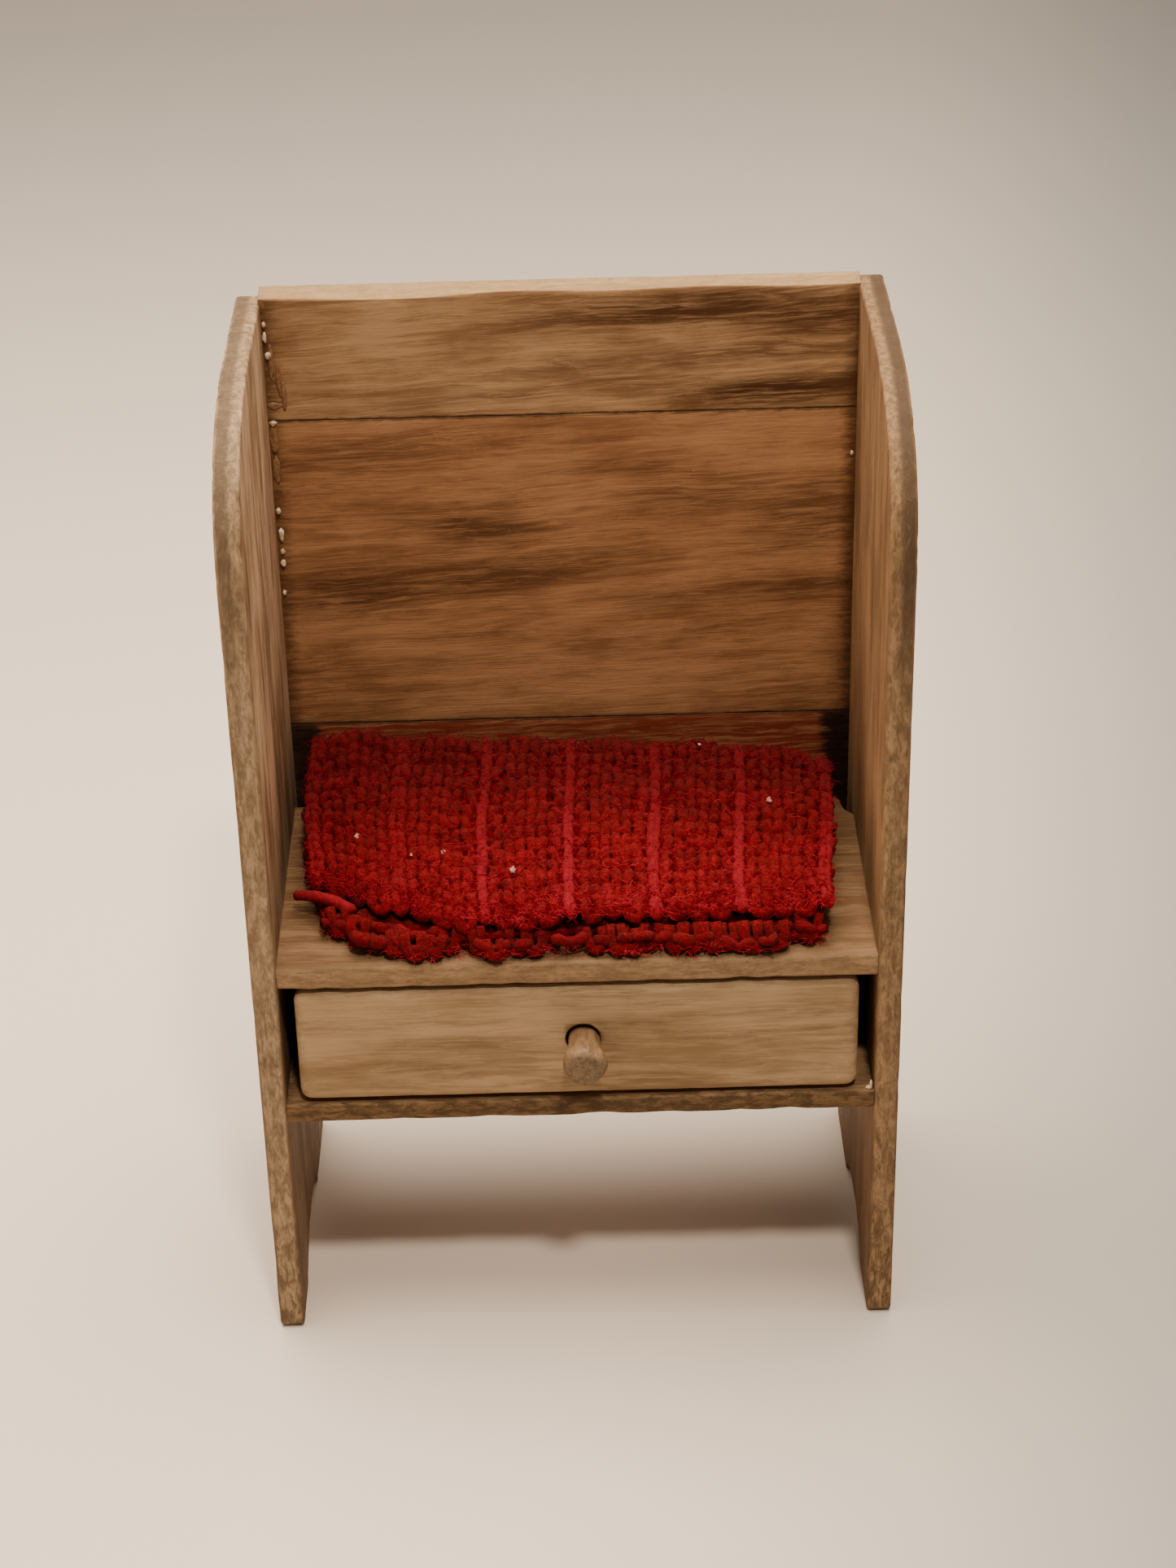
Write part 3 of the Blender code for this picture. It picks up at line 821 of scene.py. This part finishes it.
def make_knob():
    """A peg whittled to a round head; its axis runs forward out of the drawer front."""
    low, high = BOX["drawer_knob"]
    centre = (low + high) / 2
    reach = FRONT_Y - low.y
    profile = knob_profile(reach, high.y - FRONT_Y)
    points = []
    for radius, out in profile:
        for turn in range(KNOB_AROUND):
            angle = 2 * math.pi * turn / KNOB_AROUND
            facet = 1 + 0.030 * math.sin(3 * angle + 0.6) + 0.020 * math.sin(7 * angle + out * 900)
            place = Vector((radius * facet * math.cos(angle), -out,
                            radius * facet * math.sin(angle)))
            rough = noise.noise(place / (0.9 * MM)) * 0.07 * MM
            place += Vector((place.x, 0.0, place.z)).normalized() * rough
            if out >= reach * 0.999:        # the cut face
                place.y += 0.05 * MM + 0.08 * MM * noise.noise(place / (0.5 * MM))
            points.append(place + Vector((centre.x, FRONT_Y, centre.z)))
    piece = solid("drawer_knob_whittled", points, tube_faces(0, len(profile), KNOB_AROUND))
    face = np.array([smoothstep(reach - 0.5 * MM, reach - 0.1 * MM, FRONT_Y - vertex.co.y)
                     for vertex in piece.data.vertices])
    store(piece, wall=face, rim=face * 0.5)
    looks = wood_looks("knob_wood", "y", KNOB, KNOB_EDGE, 17.0)
    looks.paint(Coat_Weight=0.25)
    finish_piece(piece, looks, "drawer_knob")


# ======== knitted pad
PAD_COLUMNS = 25            # stitches across, a raised rib on every fourth
RIB_EVERY = 4
RIB_HEIGHT = (0.55, 0.40, 0.95, 1.0, 0.85, 0.95, 0.75)      # how clearly each rib stands up
STITCH_WIDTH = 2.05 * MM
LAYER_ROWS = 14             # rows in each layer of the folded strip
FOLD_ROWS = 3
TOP_ROW = LAYER_ROWS + FOLD_ROWS
STITCH_ROWS = 2 * LAYER_ROWS + FOLD_ROWS
YARN = 0.53 * MM            # radius of the yarn
LOOP_BULGE = 0.16           # sideways bulge of a loop, as a share of its width
LOOP_REACH = 0.60           # half height of a loop, as a share of the row height
LOOP_DEPTH = 0.34 * MM
LAYER_REST = 1.15 * MM      # height of a layer's middle above what it lies on
PAD_MARGIN = 0.4 * MM       # of felted cloth beyond the outer stitches' middles
PAD_SEED, TUFT_SEED = 12, 5
FUZZ_COUNT = 14000
# the core's tones are dark red: painted shade in the gaps between the loops
CORE_SHADE_TONES = (0.35, (0.055, 0.0004, 0.0012)), (0.65, (0.110, 0.0008, 0.0024))
LINT_TONES = (0.35, (0.28, 0.060, 0.050)), (0.6, (0.46, 0.190, 0.155))
# share of the width, and there: how far the top layer's front edge stands back, in millimetres
RECESS = (0.0, 0.15, 0.30, 0.36, 0.50, 0.66, 0.84, 1.0), (10.0, 4.6, 1.5, 1.2, 1.9, 2.2, 2.5, 2.3)
# share of the width, and there: the height of the fold at the rear, in millimetres
FOLD_HEIGHT = (0.0, 0.08, 0.20, 0.50, 0.74, 0.90, 1.0), (8.3, 8.8, 7.9, 7.2, 6.5, 5.9, 4.9)

pad_low, pad_high = BOX["knitted_pad"]
pad_middle = (pad_low.x + pad_high.x) / 2 - 0.05 * MM
pad_half = (PAD_COLUMNS - 1) * STITCH_WIDTH / 2 + PAD_MARGIN
PAD_LEFT, PAD_RIGHT = pad_middle - pad_half, pad_middle + pad_half
PAD_WIDTH = PAD_RIGHT - PAD_LEFT
PAD_FRONT, PAD_REAR = pad_low.y, pad_high.y - 1.9 * MM
PAD_FLOOR = SEAT_TOP + 0.05 * MM + LAYER_REST


def pad_surface(across, along):
    """Middle of the knitted strip: across runs 0 to 1 from left to right, along 0 to 1 from the
    front of the lower layer, round the fold at the rear, to the front of the upper layer."""
    across = np.asarray(across, float)
    along = np.asarray(along, float)
    row = along * STITCH_ROWS
    x = PAD_LEFT + PAD_WIDTH * across
    left_corner = 1 - smoothstep(0.0, 0.19, across)
    right_corner = smoothstep(0.90, 1.0, across)
    between_ribs = np.sin(np.pi * (x - PAD_LEFT - PAD_MARGIN) / (RIB_EVERY * STITCH_WIDTH)) ** 2
    scallop = (0.40 * np.sin(across * 47.0 + 1.3) + 0.25 * np.sin(across * 29.0 + 0.4)) * MM
    low_front = (PAD_FRONT - 0.15 * MM + 3.2 * MM * left_corner + 1.6 * MM * right_corner
                 + scallop)
    top_front = PAD_FRONT + np.interp(across, *RECESS) * MM - 0.5 * scallop
    rear = PAD_REAR - 1.2 * MM * smoothstep(0.84, 1.0, across) + 0.35 * MM * between_ribs
    rear_height = np.interp(across, *FOLD_HEIGHT) * MM
    rear_height = rear_height - LAYER_REST * 0.85 + 0.35 * MM * (between_ribs - 0.5)
    front_height = (3.30 + 0.22 * np.sin(across * 14.0 + 0.5) - 0.4 * left_corner) * MM

    # the lower layer, with its front edge lifted off the seat
    share = np.clip(row / LAYER_ROWS, -0.10, 1.0)
    lower_y = low_front + (rear - low_front) * share
    lower_z = PAD_FLOOR + 0.55 * MM * (1 - smoothstep(0.0, 2.4, row))

    # the fold: half a turn
    turn = np.clip((row - LAYER_ROWS) / FOLD_ROWS, 0.0, 1.0) * math.pi
    top_rear_z = SEAT_TOP + np.maximum(rear_height, 3.0 * MM)
    fold_y = rear + 1.25 * MM * np.sin(turn)
    fold_z = PAD_FLOOR + (top_rear_z - PAD_FLOOR) / 2 * (1 - np.cos(turn))

    # the upper layer, sloping down to its front edge
    back = np.clip((row - LAYER_ROWS - FOLD_ROWS) / LAYER_ROWS, 0.0, 1.08)
    top_y = rear + (top_front - rear) * back
    sag = np.clip(1 - back, 0.0, 1.0) ** 1.35
    top_z = SEAT_TOP + front_height + (top_rear_z - SEAT_TOP - front_height) * sag
    arch = np.sin(np.pi * np.clip(back, 0, 1))
    dome = 0.35 * MM * arch * np.sin(np.pi * across)
    swell = 0.22 * MM * (between_ribs - 0.5) * arch
    waves = np.sin(across * 31.0 + back * 5.0) * np.sin(back * 11.0 + across * 7.0)
    swell = swell + 0.18 * MM * waves
    droop = 0.75 * MM * smoothstep(0.86, 1.0, back) * (0.35 + 0.65 * left_corner)
    top_z = top_z + dome + swell - droop

    in_fold = (row > LAYER_ROWS) & (row < TOP_ROW)
    on_top = row >= TOP_ROW
    y = np.where(on_top, top_y, np.where(in_fold, fold_y, lower_y))
    z = np.where(on_top, top_z, np.where(in_fold, fold_z, lower_z))
    # both ends of the strip are drawn in a little
    x = x - 0.30 * MM * np.sin(along * 9.0)
    x = x + 2.2 * MM * (0.5 - across) * smoothstep(0.70, 1.0, along)
    x = x + 4.6 * MM * (0.5 - across) * (1 - smoothstep(0.0, 0.30, along))
    return np.stack([x, y, z], -1)


def pad_point(across, along, lift):
    """A point lifted off the strip's middle, outwards from the fold."""
    small = 1e-3
    ahead = pad_surface(across, along + small) - pad_surface(across, along - small)
    aside = pad_surface(across + small, along) - pad_surface(across - small, along)
    normal = unit(np.cross(ahead, aside))
    return pad_surface(across, along) + normal * np.asarray(lift)[..., None]


def felted(points):
    """Unevenness of felted yarn at each point: a coarse noise and a fine one."""
    places = [Vector(place) for place in points.reshape(-1, 3)]
    return np.array([noise.noise(place / (0.42 * MM)) + 0.5 * noise.noise(place / (0.19 * MM))
                     for place in places]).reshape(*points.shape[:2], 1)


def tube_mesh(name, paths, radii, sides, ribs=None, felt=0.0):
    """Tubes along lists of points as one mesh, with capped ends; felt roughens their surface."""
    vertices, faces = [], []
    start = 0
    angles = 2 * math.pi * np.arange(sides) / sides
    for path, radius in zip(paths, radii):
        path = np.asarray(path, float)
        count = len(path)
        run = unit(np.gradient(path, axis=0))
        guide = np.array([0.0, 0.0, 1.0]) if abs(run[0][2]) < 0.9 else np.array([1.0, 0.0, 0.0])
        side = np.zeros_like(path)
        side[0] = unit(np.cross(run[0], guide))
        for index in range(1, count):
            side[index] = unit(side[index - 1] - run[index] * (side[index - 1] @ run[index]))
        other = np.cross(run, side)
        ring = (side[:, None, :] * np.cos(angles)[None, :, None]
                + other[:, None, :] * np.sin(angles)[None, :, None])
        points = path[:, None, :] + ring * np.asarray(radius, float)[:, None, None]
        if felt:
            points = points + ring * felted(points) * felt
        vertices.append(points.reshape(-1, 3))
        faces += tube_faces(start, count, sides)
        start += count * sides
    piece = solid(name, np.concatenate(vertices).tolist(), faces)
    if ribs is not None:
        store(piece, rib=np.repeat(np.concatenate(ribs), sides))
    return piece


def knit_row(row, samples, dice):
    """Centreline, radius and rib share of one row of loops."""
    turns = np.arange(PAD_COLUMNS * samples + 1) / samples * 2 * math.pi
    column = np.minimum((turns / (2 * math.pi)).astype(int), PAD_COLUMNS - 1)
    local = turns / (2 * math.pi) - column
    blend = local * local * (3 - 2 * local)

    def uneven(low, high):
        """A number drawn for every stitch, changing smoothly from one to the next."""
        drawn = np.array([dice.uniform(low, high) for _ in range(PAD_COLUMNS + 1)])
        return drawn[column] * (1 - blend) + drawn[column + 1] * blend

    place = turns / (2 * math.pi) + LOOP_BULGE * np.sin(2 * turns) + uneven(-0.11, 0.11)
    rib = np.clip(np.round((place - 0.5) / RIB_EVERY), 0, len(RIB_HEIGHT) - 1)
    centre = rib * RIB_EVERY + 0.5
    clear = np.array(RIB_HEIGHT)[rib.astype(int)]
    near = (1 - smoothstep(0.30, 0.85, np.abs(place - centre))) * clear
    place = place + (centre - place) * 0.72 * near
    loop = uneven(0.75, 1.75) if row in (0, STITCH_ROWS - 1) else uneven(0.85, 1.18)
    height = row + 0.5 + uneven(-0.16, 0.16) - np.cos(turns) * LOOP_REACH * loop
    depth = -LOOP_DEPTH * np.cos(2 * turns) * (1 - 0.45 * near) + uneven(-0.16, 0.18) * MM
    depth = depth + near * 0.42 * MM
    if row == 0:        # the first row is slack, and partly hidden by its own loops
        height = height + 0.25 + uneven(-0.30, 0.30)
        depth = depth + uneven(-0.20, 0.45) * MM
    across = (PAD_MARGIN + (place - 0.5) * STITCH_WIDTH) / PAD_WIDTH
    along = height / STITCH_ROWS
    radius = YARN * uneven(0.84, 1.20) * (1 - 0.30 * near)
    path = pad_point(np.clip(across, -0.01, 1.01), np.clip(along, -0.03, 1.03), depth)
    return path, radius, near


def edge_tufts(dice):
    """Loops hanging down from the front edge of the lower layer, with dark gaps between them."""
    tufts = []
    turn = np.linspace(0.0, math.pi, 17)
    drop = np.sin(turn) ** 0.55
    low = 0.80 * MM
    for column in range(PAD_COLUMNS):
        centre = (column + 0.5 + dice.uniform(-0.22, 0.22)) / PAD_COLUMNS
        half_width = dice.uniform(0.42, 0.75) * MM
        top = dice.uniform(2.0, 2.9) * MM
        reach = dice.uniform(1.0, 1.7) * MM
        ahead = dice.uniform(-0.35, 0.25) * MM
        lean = dice.uniform(-0.35, 0.35) * MM
        thick = dice.uniform(0.82, 1.08) * YARN
        if dice.random() < 0.30:
            continue
        foot = pad_surface(centre, 0.0)
        path = np.stack([foot[0] - half_width * np.cos(turn) + lean * drop,
                         foot[1] + ahead + reach * (1 - drop),
                         SEAT_TOP + low + (top - low) * (1 - drop)], -1)
        tufts.append((path, np.full(len(turn), thick), np.zeros(len(turn))))
    return tufts


def darker_rear(wool, colour, point, tone):
    """Less light reaches the pad towards the back planks."""
    front = FRONT_Y / MM
    return wool.cover(colour, tone, wool.split(point)["Y"], front + 8.0, front + 27.0,
                      blend="MULTIPLY")


def knit_looks():
    yarn = Nodes("red_yarn")
    point = yarn.point()
    fluff = yarn.noise(point, 3.2, 6.0, 0.7)
    cloud = yarn.noise(point, 0.35, 3.0, 0.55)
    hair = yarn.noise(point, (1.2, 6.5, 6.5), 4.0, 0.7, 1.2)
    tone = yarn.weighted((cloud, 0.22), (fluff, 0.78))
    colour = yarn.ramp(tone, (0.38, (0.045, 0.0002, 0.0012)), (0.49, (0.140, 0.0006, 0.0036)),
                       (0.62, (0.285, 0.0022, 0.0095)))
    colour = yarn.mix(yarn.times(yarn.attribute("rib"), 0.40), colour, (0.36, 0.011, 0.026))
    colour = yarn.cover(colour, (0.38, 0.016, 0.030), hair, 0.57, 0.70, 0.50)
    colour = darker_rear(yarn, colour, point, (0.46, 0.12, 0.32))
    # painted shade: the yarn darkens close to the seat
    seat = SEAT_TOP / MM
    colour = yarn.cover(colour, (0.62, 0.45, 0.55), yarn.split(point)["Z"], seat + 3.2, seat + 1.6,
                        blend="MULTIPLY")
    relief = yarn.maths("MULTIPLY_ADD", hair, 0.6, fluff)
    yarn.paint(Base_Color=colour, Roughness=0.95, Specular_IOR_Level=0.03, Sheen_Weight=0.10,
               Sheen_Roughness=0.6, Sheen_Tint=(1.0, 0.20, 0.16, 1.0),
               Normal=yarn.bump(relief, 0.00035, 0.9))
    return yarn


def fuzz_looks():
    fuzz = Nodes("red_fuzz")
    point = fuzz.point()
    colour = fuzz.ramp(fuzz.noise(point, 0.9, 3.0, 0.6), (0.38, (0.15, 0.001, 0.005)),
                       (0.62, (0.35, 0.012, 0.022)))
    colour = darker_rear(fuzz, colour, point, (0.60, 0.50, 0.55))
    fuzz.paint(Base_Color=colour, Roughness=0.9, Specular_IOR_Level=0.05)
    return fuzz


def make_core():
    """The felted inside of the strip: one closed folded sheet that the loops stand on, dark as
    painted shade in the gaps between them.
    """
    columns, rows, half_thick, sink = 30, 64, 0.225 * MM, 0.1 * MM
    across, along = np.meshgrid(np.linspace(0.015, 0.985, columns), np.linspace(0.02, 0.98, rows))
    sheets = [pad_point(across, along, np.full(across.shape, lift - sink)).reshape(-1, 3)
              for lift in (half_thick, -half_thick)]
    size = columns * rows
    faces = []
    for row in range(rows - 1):
        for column in range(columns - 1):
            corner = row * columns + column
            quad = (corner, corner + 1, corner + columns + 1, corner + columns)
            faces.append(quad)
            faces.append(tuple(size + index for index in reversed(quad)))
    border = list(range(columns))
    border += [row * columns + columns - 1 for row in range(1, rows)]
    border += [(rows - 1) * columns + column for column in range(columns - 2, -1, -1)]
    border += [row * columns for row in range(rows - 2, 0, -1)]
    for first, second in zip(border, border[1:] + border[:1]):
        faces.append((second, first, size + first, size + second))
    core = solid("pad_core", np.concatenate(sheets).tolist(), faces)
    shape = bmesh.new()
    shape.from_mesh(core.data)
    bmesh.ops.recalc_face_normals(shape, faces=shape.faces)
    shape.to_mesh(core.data)
    shape.free()
    return core


# spans of the strip's length that a fibre may start from, one of them drawn for each fibre
FUZZ_SPANS = ((0.50, 1.0), (0.50, 1.0), (0.50, 1.0), (0.96, 1.02), (-0.02, 0.09))


def make_fuzz(dice):
    """Loose fibres curling off the yarn."""
    across = np.array([dice.uniform(-0.005, 1.005) for _ in range(FUZZ_COUNT)])
    along = np.array([dice.choice([dice.uniform(*span) for span in FUZZ_SPANS])
                      for _ in range(FUZZ_COUNT)])
    lifts = np.array([dice.uniform(0.45, 0.95) * MM for _ in range(FUZZ_COUNT)])
    steps = np.linspace(0, 1, 5)
    paths, radii = [], []
    for base in pad_point(across, along, lifts):
        length = dice.uniform(0.4, 1.6) * MM
        angle = dice.uniform(0, 2 * math.pi) + dice.uniform(-2.6, 2.6) * steps
        run = np.cumsum(np.stack([np.cos(angle), np.sin(angle)], -1), axis=0) * length / len(steps)
        lift = np.sin(steps * math.pi * 0.8) * dice.uniform(-0.05, 0.38) * length - 0.05 * MM
        paths.append(base + np.concatenate([run, lift[:, None]], -1))
        radii.append(dice.uniform(0.024, 0.050) * MM * (1 - 0.6 * steps))
    return tube_mesh("pad_fuzz", paths, radii, 3)


def make_tail(dice):
    """A loose end of yarn lying over the left edge of the lower layer."""
    shares = [step / 25 for step in range(26)]
    path = [((-20.6 - 5.5 * share) * MM, FRONT_Y + (5.6 + 4.2 * share ** 0.8) * MM,
             SEAT_TOP + (2.55 + 0.35 * math.sin(share * 3.0) - 0.75 * share) * MM)
            for share in shares]
    swell = [0.58 * MM * (1.0 - 0.22 * share ** 4) * dice.uniform(0.95, 1.05) for share in shares]
    return tube_mesh("pad_yarn_end", [path], [swell], 14, [np.ones(len(path))], felt=0.14 * MM)


# flecks of lint: share of the pad's width, share of the strip's length, size in millimetres
LINT = ((0.098, 0.850, 0.30), (0.262, 0.850, 0.36), (0.200, 0.870, 0.20), (0.398, 0.895, 0.46),
        (0.886, 0.720, 0.34), (0.75, 0.56, 0.20))


def make_lint():
    """Pale flecks of lint caught on the pad."""
    shape = bmesh.new()
    for across, along, size in LINT:
        centre = Vector(pad_point(np.array(across), np.array(along), 0.86 * MM))
        seed = Vector((across * 50, along * 30, 0))
        for vertex in bmesh.ops.create_icosphere(shape, subdivisions=3, radius=size * MM)["verts"]:
            crumple = 1 + 0.9 * noise.noise(vertex.co / (0.22 * MM) + seed)
            vertex.co = centre + Vector((vertex.co.x * crumple * 0.62, vertex.co.y * crumple,
                                         vertex.co.z * crumple * 0.45))
    return smooth_object("pad_lint", mesh_from("pad_lint", shape))


def make_pad():
    dice = random.Random(PAD_SEED)
    strands = []
    for row in range(STITCH_ROWS):
        samples = 18 if row >= LAYER_ROWS or row < 3 else 12
        strands.append(knit_row(row, samples, dice))
    strands += edge_tufts(random.Random(TUFT_SEED))
    paths, radii, ribs = zip(*strands)
    yarn = tube_mesh("pad_yarn", paths, radii, 9, ribs, felt=0.21 * MM)
    core = make_core()
    fuzz = make_fuzz(dice)
    tail = make_tail(dice)
    lint = make_lint()
    wool = knit_looks()
    felt = blotched("red_core", 1.6, 4.0, 0.6, *CORE_SHADE_TONES, relief=(0.0003, 0.8), Roughness=1.0,
                    Specular_IOR_Level=0.0)
    pale = blotched("lint", 4.0, 3.0, 0.55, *LINT_TONES, Roughness=0.9)
    for piece, looks in ((yarn, wool), (core, felt), (fuzz, fuzz_looks()), (tail, wool),
                         (lint, pale)):
        piece.data.materials.append(looks.material)
        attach(piece, "pad")
    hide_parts("knitted_pad")


# ======== glue
BEAD_TONES = (0.40, (0.34, 0.21, 0.115)), (0.58, (0.62, 0.47, 0.31))
RUN_TONES = (0.40, (0.110, 0.046, 0.015)), (0.58, (0.200, 0.090, 0.033))
# blobs in the corners between side and back: side (-1 left, 1 right), distance from the side,
# distance in front of the back, height, radii; all in millimetres
CORNER_BEADS = (
    (-1, 0.1, 0.0, 92.1, (0.18, 0.20, 0.30)), (-1, 0.1, 0.1, 90.9, (0.20, 0.22, 0.52)),
    (-1, 0.3, 0.1, 89.1, (0.28, 0.26, 0.38)), (-1, 0.3, 0.0, 82.3, (0.34, 0.22, 0.24)),
    (-1, 0.2, 0.1, 73.3, (0.24, 0.24, 0.30)), (-1, 0.3, 0.1, 70.8, (0.26, 0.26, 0.72)),
    (-1, 0.3, 0.0, 69.0, (0.22, 0.22, 0.28)), (-1, 0.3, 0.1, 67.8, (0.24, 0.24, 0.36)),
    (-1, 0.2, 0.0, 64.6, (0.18, 0.20, 0.28)), (1, 0.2, 0.0, 77.8, (0.16, 0.16, 0.26)))
# beside the drawer: distance from the right side, behind the front edge, above the shelf, radii
DRAWER_BEADS = ((0.25, 0.5, 0.05, (0.30, 0.30, 0.15)), (0.10, 0.3, 0.5, (0.16, 0.22, 0.45)))
# the thin run down the back: distance from the left side, height, radii
RUN = ((0.5, 88.4, (0.30, 0.15, 1.6)), (1.1, 86.6, (0.26, 0.14, 1.7)),
       (1.5, 84.9, (0.24, 0.13, 1.5)), (0.5, 84.0, (0.70, 0.13, 0.34)),
       (0.3, 80.6, (0.40, 0.13, 1.6)), (0.3, 77.5, (0.34, 0.13, 1.4)))


def glue_piece(name, lumps, tones, roughness):
    """Dried blobs: balls squashed and crumpled by noise. lumps are (centre, radii)."""
    shape = bmesh.new()
    for seed, (centre, radii) in enumerate(lumps, 1):
        middle = Vector([value * MM for value in centre])
        shift = Vector((seed * 5.1, seed * 2.3, seed))
        for vertex in bmesh.ops.create_icosphere(shape, subdivisions=3, radius=1.0)["verts"]:
            crumple = 1 + 0.35 * noise.noise(vertex.co * 1.3 + shift)
            vertex.co = middle + Vector([vertex.co[axis] * radii[axis] * MM * crumple
                                         for axis in range(3)])
    piece = smooth_object(name, mesh_from(name, shape))
    looks = blotched(name, 2.2, 4.0, 0.6, *tones, Roughness=roughness)
    piece.data.materials.append(looks.material)
    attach(piece, "chair")


def make_glue():
    """Squeezed-out glue where the left side meets the back, and beside the drawer."""
    inner = -(BOX["side_panel_left"][1].x / MM + 0.15)      # the glued corners are at x = +-inner
    back, front = BACK_FACE_Y / MM, FRONT_Y / MM
    shelf = BOX["drawer_shelf"][1].z / MM
    beads = [((side * (inner - away), back - 0.10 - ahead, height), radii)
             for side, away, ahead, height, radii in CORNER_BEADS]
    beads += [((inner - away, front + behind, shelf + above), radii)
              for away, behind, above, radii in DRAWER_BEADS]
    glue_piece("glue_beads", beads, BEAD_TONES, 0.42)
    run = [((away - inner, back, height), radii) for away, height, radii in RUN]
    glue_piece("glue_run", run, RUN_TONES, 0.50)


make_camera()
make_lights()
make_floor()
make_sides()
make_back()
make_seat()
make_drawer()
make_knob()
make_pad()
make_glue()
